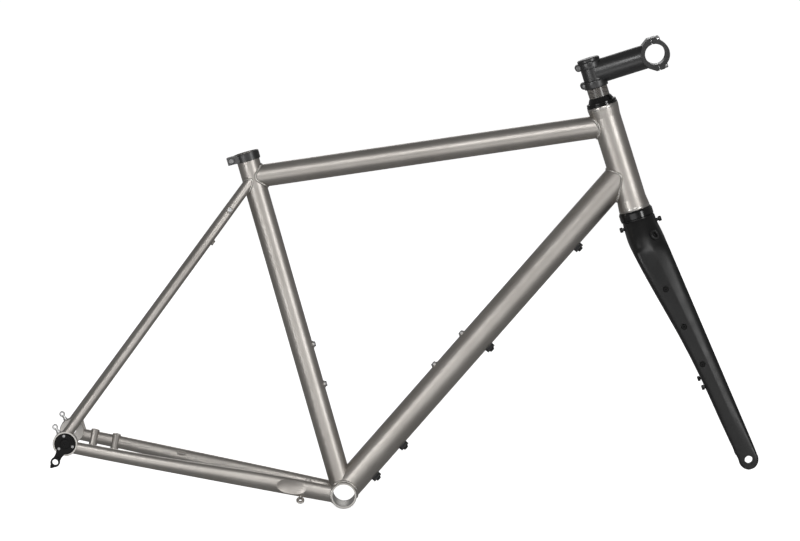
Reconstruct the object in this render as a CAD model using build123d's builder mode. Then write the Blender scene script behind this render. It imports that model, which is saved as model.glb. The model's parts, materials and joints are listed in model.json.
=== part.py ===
from build123d import *

import os
from math import cos, radians, sin, sqrt

# A road-touring bicycle frameset: a welded titanium frame with a carbon fork, headset, stem
# and seat clamp.  Millimetres, +X forward, +Y to the rider's left, +Z up.  The origin is the
# centre of the bottom bracket shell, and the frame's middle plane is Y = 0.

# ---------------------------------------------------------------- driving dimensions
head_angle = 71.0
seat_angle = 72.65
reach = 380.7
stack = 609.8
head_tube_length = 168.0
chainstay_length = 433.4
bb_drop = 76.0
fork_length = 399.2
fork_rake = 51.5
hub_width_rear = 142.0
hub_width_front = 100.0
axle_diameter = 12.0

seat_tube_diameter = 34.9
seat_tube_top = 547.0
top_tube_diameter = 34.9
down_tube_diameter = 44.45
seatstay_diameter = 16.0
tube_wall = 1.0
seatpost_diameter = 31.6
head_tube_bore = 44.0
steerer_diameter = 28.6
bb_shell_diameter = 40.5
bb_shell_bore = 34.4
bb_shell_width = 68.0
bar_diameter = 31.8
stem_length = 100.0
boss_pitch = 64.0
brake_boss_pitch = 34.0

lower_stack = 14.6          # head tube's lower face to the fork crown
cover_height = 13.9         # head tube's upper face to the spacer
spacer_height = 15.0
stem_stack = 42.0

# ---------------------------------------------------------------- worked-out places
ORIGIN = Vector(0, 0, 0)
LEFT = Vector(0, 1, 0)
steer_up = Vector(-cos(radians(head_angle)), 0, sin(radians(head_angle)))
steer_fwd = Vector(sin(radians(head_angle)), 0, cos(radians(head_angle)))
seat_up = Vector(-cos(radians(seat_angle)), 0, sin(radians(seat_angle)))
seat_fwd = Vector(sin(radians(seat_angle)), 0, cos(radians(seat_angle)))

head_top = Vector(reach, 0, stack)
head_bottom = head_top - steer_up * head_tube_length
crown_top = head_bottom - steer_up * lower_stack
rear_axle = Vector(-sqrt(chainstay_length**2 - bb_drop**2), 0, bb_drop)
front_axle = crown_top - steer_up * fork_length + steer_fwd * fork_rake
stem_bottom = head_top + steer_up * (cover_height + spacer_height)
stem_axis_height = 22.5
stem_root = stem_bottom + steer_up * stem_axis_height
bar_centre = stem_root + steer_fwd * stem_length
top_tube_seat_end = seat_up * 508.5
top_tube_head_end = head_top - steer_up * 32.0
down_tube_head_end = head_top - steer_up * 107.7
down_tube_bb_end = Vector(-2.4, 0, 2.1)
down_along = (down_tube_head_end - down_tube_bb_end).normalized()
down_under = LEFT.cross(down_along)
seatstay_along = Vector(cos(radians(55.3)), 0, sin(radians(55.3)))
seatstay_up = seatstay_along.cross(LEFT)
seatstay_foot = rear_axle + seatstay_along * 8 + seatstay_up * 6.6
chainstay_foot = rear_axle - Vector(0, 0, 3.8)
chainstay_along = (Vector(0, 0, -2.0) - chainstay_foot).normalized()
chainstay_up = chainstay_along.cross(LEFT)
RIGHT = -LEFT
hub_half = hub_width_rear / 2

os.makedirs("parts", exist_ok=True)


# ---------------------------------------------------------------- shapes used again and again
def rod(start, end, radius, mode=Mode.ADD):
    """A round bar between two points."""
    with BuildSketch(Plane(origin=start, z_dir=end - start)) as section:
        Circle(radius)
    extrude(section.sketch, amount=(end - start).length, mode=mode)


def tube(start, end, outer_radius, wall):
    """A round tube between two points."""
    with BuildSketch(Plane(origin=start, z_dir=end - start)) as section:
        Circle(outer_radius)
        Circle(outer_radius - wall, mode=Mode.SUBTRACT)
    extrude(section.sketch, amount=(end - start).length)


def turn(origin, direction, outline, mode=Mode.ADD):
    """Revolve an outline of (radius, height) points about a line."""
    side = Plane(origin=origin, z_dir=direction).x_dir
    with BuildSketch(Plane(origin=origin, x_dir=side, z_dir=side.cross(direction))) as section:
        with BuildLine():
            Polyline(*outline, close=True)
        make_face()
    revolve(section.sketch, axis=Axis(origin, direction), mode=mode)


def socket_bolt(seat, outward, head_radius, head_height, shank_radius, shank_length, key):
    """A cap bolt with a hexagon socket: its head stands outward from the seat."""
    rod(seat - outward * shank_length, seat, shank_radius)
    turn(seat, outward, [(0, 0), (head_radius, 0), (head_radius, head_height * 0.75),
                         (head_radius * 0.82, head_height), (0, head_height)])
    with BuildSketch(Plane(origin=seat + outward * head_height, z_dir=outward)) as hexagon:
        RegularPolygon(key / 2, 6, major_radius=False)
    extrude(hexagon.sketch, amount=-head_height * 0.6, mode=Mode.SUBTRACT)


def threaded_boss(seat, outward, radius, height, hole_radius, depth):
    """A welded boss: a flanged collar on the tube with a sleeve that reaches inside it."""
    turn(seat, outward, [(hole_radius, -depth), (radius * 0.72, -depth), (radius * 0.72, -0.6),
                         (radius, -0.6), (radius, height), (hole_radius, height)])


# ---------------------------------------------------------------- head tube
head_tube_radius = 22.6
head_tube_end_radius = 24.0
end_band = 6.0
end_taper = 12.0
head_tube_outside = [
    (head_tube_end_radius, 0),
    (head_tube_end_radius, end_band),
    (head_tube_radius, end_band + end_taper),
    (head_tube_radius, head_tube_length - end_band - end_taper),
    (head_tube_end_radius, head_tube_length - end_band),
    (head_tube_end_radius, head_tube_length),
]

with BuildPart() as head_tube:
    turn(head_bottom, steer_up, [(head_tube_bore / 2, 0), *head_tube_outside,
                                 (head_tube_bore / 2, head_tube_length)])
head_tube.part.label = "head_tube"
export_step(head_tube.part, "parts/head_tube.step")

# ---------------------------------------------------------------- bottom bracket shell
bb_half = bb_shell_width / 2
bb_left_face = LEFT * bb_half

with BuildPart() as bottom_bracket_shell:
    turn(ORIGIN - bb_left_face, LEFT, [
        (bb_shell_bore / 2, 0),
        (bb_shell_diameter / 2 - 0.8, 0),
        (bb_shell_diameter / 2, 0.8),
        (bb_shell_diameter / 2, bb_shell_width - 0.8),
        (bb_shell_diameter / 2 - 0.8, bb_shell_width),
        (bb_shell_bore / 2, bb_shell_width),
    ])
bottom_bracket_shell.part.label = "bottom_bracket_shell"
export_step(bottom_bracket_shell.part, "parts/bottom_bracket_shell.step")

# ---------------------------------------------------------------- bottle cage bosses' places
bottle_bolt_seats = []
for height in (235.0, 235.0 - boss_pitch):
    bottle_bolt_seats.append((seat_up * height + seat_fwd * seat_tube_diameter / 2, seat_fwd))
for distance in (306.0, 306.0 - boss_pitch):
    on_axis = down_tube_bb_end + down_along * distance
    bottle_bolt_seats.append((on_axis - down_under * down_tube_diameter / 2, -down_under))
boss_radius = 5.6
boss_height = 1.2
boss_sleeve_radius = boss_radius * 0.72

# cable guides sit on small bosses under the down tube
guide_distances = (524.0, 318.0, 116.0, 52.0)
guide_shank_radius = 2.5
guide_seats = []
for distance in guide_distances:
    on_axis = down_tube_bb_end + down_along * distance
    guide_seats.append(on_axis + down_under * down_tube_diameter / 2)

# ---------------------------------------------------------------- seat tube
bb_cut = bb_shell_diameter / 2
post_depth = 140.0

with BuildPart() as seat_tube:
    turn(ORIGIN, seat_up, [
        (seat_tube_diameter / 2 - tube_wall, 0),
        (seat_tube_diameter / 2, 0),
        (seat_tube_diameter / 2, seat_tube_top),
        (seatpost_diameter / 2, seat_tube_top),
        (seatpost_diameter / 2, seat_tube_top - post_depth),
        (seat_tube_diameter / 2 - tube_wall, seat_tube_top - post_depth - 6),
    ])
    rod(ORIGIN - LEFT * 60, LEFT * 60, bb_cut, mode=Mode.SUBTRACT)
    # the clamp slot at the back of the tube's mouth
    slot_top = seat_up * (seat_tube_top + 1)
    with BuildSketch(Plane(origin=slot_top, x_dir=LEFT, z_dir=-seat_up)):
        with Locations((0, -seat_tube_diameter / 2)):
            Rectangle(2.6, 12)
    extrude(amount=30, mode=Mode.SUBTRACT)
    for seat, outward in bottle_bolt_seats[:2]:
        rod(seat - outward * 8, seat + outward * 3, boss_sleeve_radius, mode=Mode.SUBTRACT)
seat_tube.part.label = "seat_tube"
export_step(seat_tube.part, "parts/seat_tube.step")

# ---------------------------------------------------------------- top tube
mitre_setback = 5.0         # tube ends start this far off the crossing tube's centre line
top_along = (top_tube_head_end - top_tube_seat_end).normalized()

with BuildPart() as top_tube:
    tube(top_tube_seat_end + top_along * mitre_setback, top_tube_head_end - top_along * mitre_setback,
         top_tube_diameter / 2, tube_wall)
    rod(ORIGIN, seat_up * (seat_tube_top + 40), seat_tube_diameter / 2, mode=Mode.SUBTRACT)
    turn(head_bottom, steer_up, [(0, 0), *head_tube_outside, (0, head_tube_length)],
         mode=Mode.SUBTRACT)
top_tube.part.label = "top_tube"
export_step(top_tube.part, "parts/top_tube.step")

# ---------------------------------------------------------------- down tube
with BuildPart() as down_tube:
    tube(down_tube_bb_end + down_along * mitre_setback, down_tube_head_end, down_tube_diameter / 2,
         tube_wall)
    rod(ORIGIN - LEFT * 60, LEFT * 60, bb_cut, mode=Mode.SUBTRACT)
    rod(ORIGIN, seat_up * 200, seat_tube_diameter / 2, mode=Mode.SUBTRACT)
    turn(head_bottom, steer_up, [(0, 0), *head_tube_outside, (0, head_tube_length)],
         mode=Mode.SUBTRACT)
    for seat, outward in bottle_bolt_seats[2:]:
        rod(seat - outward * 8, seat + outward * 3, boss_sleeve_radius, mode=Mode.SUBTRACT)
    for seat in guide_seats:
        rod(seat - down_under * 8, seat + down_under * 3, guide_shank_radius, mode=Mode.SUBTRACT)
    offcuts = down_tube.solids().sort_by(SortBy.VOLUME)[:-1]
    add(offcuts, mode=Mode.SUBTRACT)
down_tube.part.label = "down_tube"
export_step(down_tube.part, "parts/down_tube.step")

# ---------------------------------------------------------------- chainstays
# stations along each stay: distance from its foot, distance from the middle plane,
# width across and height of the oval section
chainstay_stations = [
    (12.0, 73.5, 14.6, 18.8),
    (80.0, 70.0, 16.0, 20.0),
    (185.0, 56.5, 17.6, 22.4),
    (275.0, 40.5, 17.0, 25.4),
    (335.0, 32.0, 16.6, 26.4),
    (418.0, 24.5, 16.6, 25.6),
]
dropout_radius = 19.0
dimple_depth = 4.6
dimple_distance = 356.0     # from the rear axle, along the stay
brake_boss_radius = 6.4
brake_boss_inset = 4.0       # the bosses stand proud of the stay's inner side
brake_boss_distances = (35.2, 35.2 + brake_boss_pitch)


def chainstay_point(distance, lateral, side):
    return chainstay_foot + chainstay_along * distance + LEFT * side * lateral


def chainstay_lateral(distance):
    """Distance of the stay's centre line from the middle plane, between two stations."""
    for near, far in zip(chainstay_stations, chainstay_stations[1:]):
        if near[0] <= distance <= far[0]:
            share = (distance - near[0]) / (far[0] - near[0])
            return near[1] + share * (far[1] - near[1])
    return chainstay_stations[-1][1]


def brake_boss_middle(distance):
    """The middle of a brake boss, where its axis crosses the left stay's centre line's height."""
    return chainstay_point(distance, chainstay_lateral(distance) - brake_boss_inset, 1)


def chainstay_loft(side, shrink, mode):
    """The stay's outer body, or its hollow when shrink is the wall's thickness."""
    centres = [chainstay_point(distance, lateral, side) for distance, lateral, _, _ in chainstay_stations]
    sections = []
    for plane, (_, _, width, height) in zip(section_planes(centres), chainstay_stations):
        with BuildSketch(plane) as section:
            Ellipse(width / 2 - shrink, height / 2 - shrink)
        sections.append(section.sketch)
    loft(sections, mode=mode)


def section_planes(centres):
    """Planes square to a path through the centres, with x across and y upward."""
    planes = []
    last = len(centres) - 1
    for index, centre in enumerate(centres):
        along = centres[min(index + 1, last)] - centres[max(index - 1, 0)]
        planes.append(Plane(origin=centre, x_dir=LEFT - along * (LEFT.dot(along) / along.dot(along)),
                            z_dir=along))
    return planes


dimple_radius = 56.0
dimple_place = chainstay_point(dimple_distance, chainstay_lateral(dimple_distance) + 8.3, -1)
dimple_middle = dimple_place + RIGHT * (dimple_radius - dimple_depth)

# the pressed wall behind the chainring hollow
with BuildPart() as dimple_skin:
    chainstay_loft(-1, 0, Mode.ADD)
    with Locations(dimple_middle):
        Sphere(dimple_radius + tube_wall, mode=Mode.INTERSECT)

for side_name, side in (("right", -1), ("left", 1)):
    with BuildPart() as chainstay:
        chainstay_loft(side, 0, Mode.ADD)
        chainstay_loft(side, tube_wall, Mode.SUBTRACT)
        if side < 0:
            add(dimple_skin.part)
            with Locations(dimple_middle):
                Sphere(dimple_radius, mode=Mode.SUBTRACT)
        else:
            for distance in brake_boss_distances:
                middle = brake_boss_middle(distance)
                rod(middle - chainstay_up * 30, middle + chainstay_up * 30, brake_boss_radius,
                    mode=Mode.SUBTRACT)
        rod(ORIGIN - LEFT * 60, LEFT * 60, bb_cut, mode=Mode.SUBTRACT)
        rod(rear_axle - LEFT * 100, rear_axle + LEFT * 100, dropout_radius, mode=Mode.SUBTRACT)
    chainstay.part.label = f"chainstay_{side_name}"
    export_step(chainstay.part, f"parts/chainstay_{side_name}.step")

# the tubular bridge between the chainstays, with a mudguard boss that faces the tyre
chainstay_bridge_distance = 375.0
chainstay_bridge_centre = chainstay_point(chainstay_bridge_distance, 0, 1) + chainstay_up * 3

with BuildPart() as chainstay_bridge:
    rod(chainstay_bridge_centre + RIGHT * 30, chainstay_bridge_centre + LEFT * 30, 6.0)
    rod(chainstay_bridge_centre, chainstay_bridge_centre - chainstay_along * 9.0, 4.2)
    rod(chainstay_bridge_centre, chainstay_bridge_centre - chainstay_along * 10.0, 2.1,
        mode=Mode.SUBTRACT)
    chainstay_loft(-1, 0, Mode.SUBTRACT)
    chainstay_loft(1, 0, Mode.SUBTRACT)
    offcuts = chainstay_bridge.solids().sort_by(SortBy.VOLUME)[:-1]
    add(offcuts, mode=Mode.SUBTRACT)
chainstay_bridge.part.label = "chainstay_bridge"
export_step(chainstay_bridge.part, "parts/chainstay_bridge.step")

# flat-mount brake bosses: two sleeves through the left chainstay
with BuildPart() as brake_bosses:
    for distance in brake_boss_distances:
        middle = brake_boss_middle(distance)
        turn(middle - chainstay_up * 12.0, chainstay_up, [
            (2.6, 0),
            (brake_boss_radius - 0.6, 0),
            (brake_boss_radius, 0.6),
            (brake_boss_radius, 24.4),
            (brake_boss_radius - 0.6, 25.0),
            (2.6, 25.0),
        ])
brake_bosses.part.label = "brake_bosses"
export_step(brake_bosses.part, "parts/brake_bosses.step")

# the housing loop under the right chainstay
loop_centre = Vector(-66.4, -34.0, -8.5)
loop_axis = Vector(0, -cos(radians(50)), sin(radians(50)))

with BuildPart() as chainstay_loop:
    turn(loop_centre - loop_axis * 1.6, loop_axis, [
        (2.7, 0), (5.6, 0), (6.2, 0.6), (6.2, 2.6), (5.6, 3.2), (2.7, 3.2),
    ])
    rod(loop_centre, loop_centre + Vector(0, 6, 14), 2.2)
    rod(loop_centre - loop_axis * 5, loop_centre + loop_axis * 5, 2.7, mode=Mode.SUBTRACT)
    chainstay_loft(-1, 0, Mode.SUBTRACT)
    offcuts = chainstay_loop.solids().sort_by(SortBy.VOLUME)[:-1]
    add(offcuts, mode=Mode.SUBTRACT)
chainstay_loop.part.label = "chainstay_loop"
export_step(chainstay_loop.part, "parts/chainstay_loop.step")

# ---------------------------------------------------------------- seatstays and bridge
# each stay runs up from its dropout, then bends inward above the tyre to the seat tube
seatstay_bend = 349.0
seatstay_end = 484.0
seatstay_foot_lateral = 73.5
seatstay_bend_lateral = 40.0
seatstay_end_lateral = 9.0
seatstay_bend_radius = 600.0
bridge_distance = 367.0
bridge_radius = 6.5


def seatstay_point(distance, lateral):
    return seatstay_foot + seatstay_along * distance + LEFT * lateral


for side_name, side in (("right", -1), ("left", 1)):
    foot = seatstay_point(0, side * seatstay_foot_lateral)
    bend = seatstay_point(seatstay_bend, side * seatstay_bend_lateral)
    end = seatstay_point(seatstay_end, side * seatstay_end_lateral)
    with BuildPart() as seatstay:
        with BuildLine() as route:
            FilletPolyline(foot, bend, end, radius=seatstay_bend_radius)
        with BuildSketch(Plane(origin=foot, z_dir=bend - foot)):
            Circle(seatstay_diameter / 2)
            Circle(seatstay_diameter / 2 - tube_wall, mode=Mode.SUBTRACT)
        sweep(path=route.line)
        rod(ORIGIN, seat_up * (seat_tube_top + 40), seat_tube_diameter / 2, mode=Mode.SUBTRACT)
        rod(rear_axle - LEFT * 100, rear_axle + LEFT * 100, dropout_radius, mode=Mode.SUBTRACT)
    seatstay.part.label = f"seatstay_{side_name}"
    export_step(seatstay.part, f"parts/seatstay_{side_name}.step")

bridge_share = (bridge_distance - seatstay_bend) / (seatstay_end - seatstay_bend)
bridge_lateral = seatstay_bend_lateral + bridge_share * (seatstay_end_lateral - seatstay_bend_lateral)
bridge_centre = seatstay_point(bridge_distance, 0)
bridge_gap = bridge_lateral - seatstay_diameter / 2 - 2.0

with BuildPart() as seatstay_bridge:
    rod(bridge_centre + RIGHT * bridge_gap, bridge_centre + LEFT * bridge_gap, bridge_radius)
    rod(bridge_centre, bridge_centre - seatstay_up * 11.5, 4.5)
    rod(bridge_centre, bridge_centre - seatstay_up * 12.0, 2.1, mode=Mode.SUBTRACT)
seatstay_bridge.part.label = "seatstay_bridge"
export_step(seatstay_bridge.part, "parts/seatstay_bridge.step")

# ---------------------------------------------------------------- rear dropouts
hub_recess_radius = 10.5
dropout_inner = hub_half - 6.0
dropout_outer = hub_half + 9.0
hanger_seat = hub_half + 4.0
hanger_radius = 16.3
hanger_thickness = 4.2
axle_nut_radius = 8.0
eye_offset = Vector(-14.4, 0, -28.4)
arm_along = eye_offset.normalized()
screw_circle = 12.1
screw_angles = (100.0, 220.0, 340.0)
guard_along = Vector(-0.545, 0, 0.838)
guard_lateral = 72.5
guard_shank_radius = 2.4


def beside_axle(angle, radius, height):
    """A point round the rear axle on the right side: height counts outward from the middle."""
    return rear_axle + Vector(radius * cos(radians(angle)), -height, radius * sin(radians(angle)))


with BuildPart() as dropout_right:
    turn(rear_axle, RIGHT, [
        (hub_recess_radius, dropout_inner),
        (dropout_radius - 1, dropout_inner),
        (dropout_radius, dropout_inner + 1),
        (dropout_radius, dropout_outer - 0.6),
        (dropout_radius - 0.6, dropout_outer),
        (hanger_radius + 0.3, dropout_outer),
        (hanger_radius + 0.3, hanger_seat),
        (axle_nut_radius, hanger_seat),
        (axle_nut_radius, hub_half),
        (hub_recess_radius, hub_half),
    ])
    # the rim opens where the hanger's arm leaves it
    rim_gap = Plane(origin=rear_axle + RIGHT * hanger_seat, x_dir=arm_along, z_dir=RIGHT)
    with BuildSketch(rim_gap):
        with Locations((18, 0)):
            Rectangle(10, 17)
    extrude(amount=10, mode=Mode.SUBTRACT)
    for angle in screw_angles:
        rod(beside_axle(angle, screw_circle, hub_half + 0.5),
            beside_axle(angle, screw_circle, hanger_seat + 1), 1.5, mode=Mode.SUBTRACT)
    guard_hole = rear_axle + RIGHT * guard_lateral
    rod(guard_hole + guard_along * 13, guard_hole + guard_along * 21, guard_shank_radius,
        mode=Mode.SUBTRACT)
dropout_right.part.label = "dropout_right"
export_step(dropout_right.part, "parts/dropout_right.step")

with BuildPart() as dropout_left:
    turn(rear_axle, LEFT, [
        (hub_recess_radius, dropout_inner),
        (dropout_radius - 1, dropout_inner),
        (dropout_radius, dropout_inner + 1),
        (dropout_radius, hub_half + 7),
        (dropout_radius - 1, hub_half + 8),
        (axle_diameter / 2 + 0.1, hub_half + 8),
        (axle_diameter / 2 + 0.1, hub_half),
        (hub_recess_radius, hub_half),
    ])
    # the web that fills the corner between the two stays
    with BuildSketch(Plane(origin=rear_axle + LEFT * hub_half, x_dir=Vector(1, 0, 0), z_dir=RIGHT)):
        with BuildLine():
            Polyline((10, 10), (12, -2), (25, -5))
            ThreePointArc((25, -5), (20, 7), (16, 22))
            Line((16, 22), (10, 10))
        make_face()
    extrude(amount=-5)
    rod(seatstay_point(0, seatstay_foot_lateral),
        seatstay_point(87, seatstay_foot_lateral - 8.4), seatstay_diameter / 2 + 0.2,
        mode=Mode.SUBTRACT)
    chainstay_loft(1, 0, Mode.SUBTRACT)
    for distance in brake_boss_distances:
        middle = brake_boss_middle(distance)
        rod(middle - chainstay_up * 30, middle + chainstay_up * 30, brake_boss_radius + 0.2,
            mode=Mode.SUBTRACT)
    guard_hole = rear_axle + LEFT * guard_lateral
    rod(guard_hole + guard_along * 13, guard_hole + guard_along * 21, guard_shank_radius,
        mode=Mode.SUBTRACT)
    offcuts = dropout_left.solids().sort_by(SortBy.VOLUME)[:-1]
    add(offcuts, mode=Mode.SUBTRACT)
dropout_left.part.label = "dropout_left"
export_step(dropout_left.part, "parts/dropout_left.step")

# ---------------------------------------------------------------- derailleur hanger
hanger_plane = Plane(origin=rear_axle + RIGHT * hanger_seat, x_dir=Vector(1, 0, 0), z_dir=RIGHT)
eye_place = (eye_offset.X, eye_offset.Z)
eye_radius = 7.3
eye_hole_radius = 4.6
arm_side = Vector(-arm_along.Z, 0, arm_along.X)


def on_arm(distance, across):
    """A point in the hanger's own plane, along and across its arm."""
    place = arm_along * distance + arm_side * across
    return (place.X, place.Z)


with BuildPart() as derailleur_hanger:
    with BuildSketch(hanger_plane):
        Circle(hanger_radius)
        with BuildLine():
            Polyline(on_arm(10, -8.0), on_arm(21, -5.6), on_arm(30, -5.6), on_arm(30, 5.6),
                     on_arm(21, 5.6), on_arm(10, 8.0), close=True)
        make_face()
        with Locations(eye_place):
            Circle(eye_radius)
        # the stop that the derailleur's tension screw bears on
        with BuildLine():
            Polyline(on_arm(34, -6.0), on_arm(36, 6.5), on_arm(43.5, -1.2), on_arm(43.0, -3.2),
                     on_arm(39.5, -4.4), close=True)
        make_face()
        Circle(axle_nut_radius, mode=Mode.SUBTRACT)
        with Locations(eye_place):
            Circle(eye_hole_radius, mode=Mode.SUBTRACT)
    extrude(amount=hanger_thickness)
    # the thicker eye
    with BuildSketch(hanger_plane.offset(hanger_thickness)):
        with Locations(eye_place):
            Circle(eye_radius)
            Circle(eye_hole_radius, mode=Mode.SUBTRACT)
    extrude(amount=2.6)
    # the crescent-shaped relief along the front of the disc
    with BuildSketch(hanger_plane.offset(hanger_thickness)):
        Circle(hanger_radius - 1.0)
        with Locations((-3.4, -2.0)):
            Circle(hanger_radius - 0.6, mode=Mode.SUBTRACT)
    extrude(amount=-1.4, mode=Mode.SUBTRACT)
    for angle in screw_angles:
        rod(beside_axle(angle, screw_circle, hanger_seat - 1),
            beside_axle(angle, screw_circle, hanger_seat + hanger_thickness + 1), 1.5,
            mode=Mode.SUBTRACT)
        rod(beside_axle(angle, screw_circle, hanger_seat + hanger_thickness - 1.4),
            beside_axle(angle, screw_circle, hanger_seat + hanger_thickness + 1), 2.5,
            mode=Mode.SUBTRACT)
derailleur_hanger.part.label = "derailleur_hanger"
export_step(derailleur_hanger.part, "parts/derailleur_hanger.step")

with BuildPart() as hanger_screws:
    for angle in screw_angles:
        seat = beside_axle(angle, screw_circle, hanger_seat + hanger_thickness - 1.4)
        socket_bolt(seat, RIGHT, 2.5, 1.4, 1.5, 6.0, 2.0)
hanger_screws.part.label = "hanger_screws"
export_step(hanger_screws.part, "parts/hanger_screws.step")

# the blind threaded insert that the rear axle screws into
axle_thread_radius = 5.3

with BuildPart() as axle_nut:
    turn(rear_axle, RIGHT, [
        (axle_thread_radius, hub_half),
        (axle_nut_radius, hub_half),
        (axle_nut_radius, hanger_seat + hanger_thickness),
        (axle_nut_radius - 1.2, hanger_seat + hanger_thickness + 1.0),
        (0, hanger_seat + hanger_thickness + 1.0),
        (0, hanger_seat + hanger_thickness - 1.0),
        (axle_thread_radius, hanger_seat + hanger_thickness - 1.0),
    ])
    with BuildSketch(hanger_plane.offset(hanger_thickness + 1.0)):
        RegularPolygon(3.0, 6, major_radius=False)
    extrude(amount=-1.0, mode=Mode.SUBTRACT)
axle_nut.part.label = "axle_nut"
export_step(axle_nut.part, "parts/axle_nut.step")

# ---------------------------------------------------------------- mudguard eyebolts
eyebolt_reach = 29.6

with BuildPart() as eyebolts:
    for side in (-1, 1):
        root = rear_axle + LEFT * side * guard_lateral
        ring = root + guard_along * eyebolt_reach
        rod(root + guard_along * 14.0, ring - guard_along * 2.5, guard_shank_radius)
        rod(root + guard_along * 19.2, root + guard_along * 21.4, 3.4)
        turn(ring - LEFT * 2.0, LEFT, [
            (0, 0), (3.5, 0), (4.4, 0.9), (4.4, 3.1), (3.5, 4.0), (0, 4.0),
        ])
        rod(ring - LEFT * 5, ring + LEFT * 5, 1.9, mode=Mode.SUBTRACT)
eyebolts.part.label = "mudguard_eyebolts"
export_step(eyebolts.part, "parts/mudguard_eyebolts.step")

# ---------------------------------------------------------------- small parts on the stays
rack_boss_distance = 424.0


def upper_stay(side):
    """The seatstay's centre line above its bend: its start, its end and its direction."""
    start = seatstay_point(seatstay_bend, side * seatstay_bend_lateral)
    end = seatstay_point(seatstay_end, side * seatstay_end_lateral)
    return start, end, (end - start).normalized()


def rack_seat(side):
    """Where a rack boss stands on the outside of its stay, and the way it points."""
    start, end, along = upper_stay(side)
    share = (rack_boss_distance - seatstay_bend) / (seatstay_end - seatstay_bend)
    outward = along.cross(seatstay_up) * -side
    return start + (end - start) * share + outward * (seatstay_diameter / 2 - 0.8), outward


rack_boss_height = 2.6

with BuildPart() as rack_bosses:
    for side in (-1, 1):
        seat, outward = rack_seat(side)
        start, end, _ = upper_stay(side)
        turn(seat, outward, [(2.5, 0), (5.2, 0), (5.2, 1.6), (4.4, rack_boss_height),
                             (2.5, rack_boss_height)])
        rod(start, end, seatstay_diameter / 2, mode=Mode.SUBTRACT)
rack_bosses.part.label = "rack_bosses"
export_step(rack_bosses.part, "parts/rack_bosses.step")

with BuildPart() as rack_boss_bolts:
    for side in (-1, 1):
        seat, outward = rack_seat(side)
        socket_bolt(seat + outward * rack_boss_height, outward, 3.6, 2.0, 2.5, 1.7, 3.0)
rack_boss_bolts.part.label = "rack_boss_bolts"
export_step(rack_boss_bolts.part, "parts/rack_boss_bolts.step")

# the brake hose leaves the left chainstay through a raised port on its inner side
port_distance = 174.0
port_outward = (RIGHT + chainstay_up * 0.7).normalized()
port_centre = chainstay_point(port_distance, chainstay_lateral(port_distance), 1) + port_outward * 8.4

with BuildPart() as hose_port:
    port_plane = Plane(origin=port_centre, x_dir=chainstay_along, z_dir=port_outward)
    with BuildSketch(port_plane):
        SlotOverall(14.0, 6.4)
    extrude(amount=2.8)
    with BuildSketch(port_plane.offset(2.8)):
        SlotOverall(10.0, 3.2)
    extrude(amount=-1.6, mode=Mode.SUBTRACT)
    chainstay_loft(1, 0, Mode.SUBTRACT)
    offcuts = hose_port.solids().sort_by(SortBy.VOLUME)[:-1]
    add(offcuts, mode=Mode.SUBTRACT)
hose_port.part.label = "hose_port"
export_step(hose_port.part, "parts/hose_port.step")

# ---------------------------------------------------------------- bottle cage bosses and bolts
with BuildPart() as bottle_bosses:
    for seat, outward in bottle_bolt_seats:
        threaded_boss(seat, outward, boss_radius, boss_height, 2.5, 7.0)
    for start, end, radius in (
        (ORIGIN, seat_up * 400, seat_tube_diameter / 2),
        (down_tube_bb_end, down_tube_head_end, down_tube_diameter / 2),
    ):
        # the flange is dished to the tube, and the sleeve passes its wall
        with BuildSketch(Plane(origin=start, z_dir=end - start)):
            Circle(radius)
            Circle(radius - tube_wall, mode=Mode.SUBTRACT)
        extrude(amount=(end - start).length, mode=Mode.SUBTRACT)
    for seat, outward in bottle_bolt_seats:
        turn(seat, outward, [(2.5, -7.0), (boss_sleeve_radius, -7.0), (boss_sleeve_radius, 0.5),
                             (2.5, 0.5)])
bottle_bosses.part.label = "bottle_bosses"
export_step(bottle_bosses.part, "parts/bottle_bosses.step")

with BuildPart() as bottle_bolts:
    for seat, outward in bottle_bolt_seats:
        socket_bolt(seat + outward * boss_height, outward, 4.4, 3.0, 2.5, 8.0, 3.0)
bottle_bolts.part.label = "bottle_bolts"
export_step(bottle_bolts.part, "parts/bottle_bolts.step")

# ---------------------------------------------------------------- cable guides under the down tube
guide_length = 15.0
guide_width = 13.0
guide_height = 8.0
guide_channel = 2.6
guide_channel_offset = 5.4

for number, seat in enumerate(guide_seats, start=1):
    guide_plane = Plane(origin=seat, x_dir=down_along, z_dir=down_under)
    with BuildPart() as cable_guide:
        with BuildSketch(guide_plane.offset(-2.5)):
            RectangleRounded(guide_length, guide_width, 3.0)
        extrude(amount=guide_height)
        with BuildSketch(guide_plane.offset(-2.5)):
            with Locations((0, -guide_width / 2)):
                RectangleRounded(9.0, 8.0, 2.5)
        extrude(amount=guide_height - 2.2)
        # two housings run through open channels beside the bolt
        for side in (-1, 1):
            channel = seat + LEFT * side * guide_channel_offset + down_under * 3.2
            rod(channel - down_along * 12, channel + down_along * 12, guide_channel,
                mode=Mode.SUBTRACT)
        rod(down_tube_bb_end, down_tube_head_end, down_tube_diameter / 2, mode=Mode.SUBTRACT)
        rod(seat - down_under * 3, seat + down_under * 9, guide_shank_radius, mode=Mode.SUBTRACT)
    cable_guide.part.label = f"cable_guide_{number}"
    export_step(cable_guide.part, f"parts/cable_guide_{number}.step")

with BuildPart() as guide_bolts:
    for seat in guide_seats:
        socket_bolt(seat + down_under * (guide_height - 2.5), down_under, 4.2, 3.0,
                    guide_shank_radius, 12.0, 3.0)
guide_bolts.part.label = "guide_bolts"
export_step(guide_bolts.part, "parts/guide_bolts.step")

# ---------------------------------------------------------------- seat clamp
clamp_height = 13.0
clamp_outer = 19.6
clamp_bottom = seat_up * (seat_tube_top - clamp_height + 1.0)
ear_reach = 31.0
ear_half_width = 9.5
ear_height = 11.6
clamp_slot = 3.0
clamp_bolt_back = 24.5
clamp_bolt_centre = clamp_bottom - seat_fwd * clamp_bolt_back + seat_up * (clamp_height / 2)
clamp_plane = Plane(origin=clamp_bottom, x_dir=seat_fwd, z_dir=seat_up)

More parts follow.
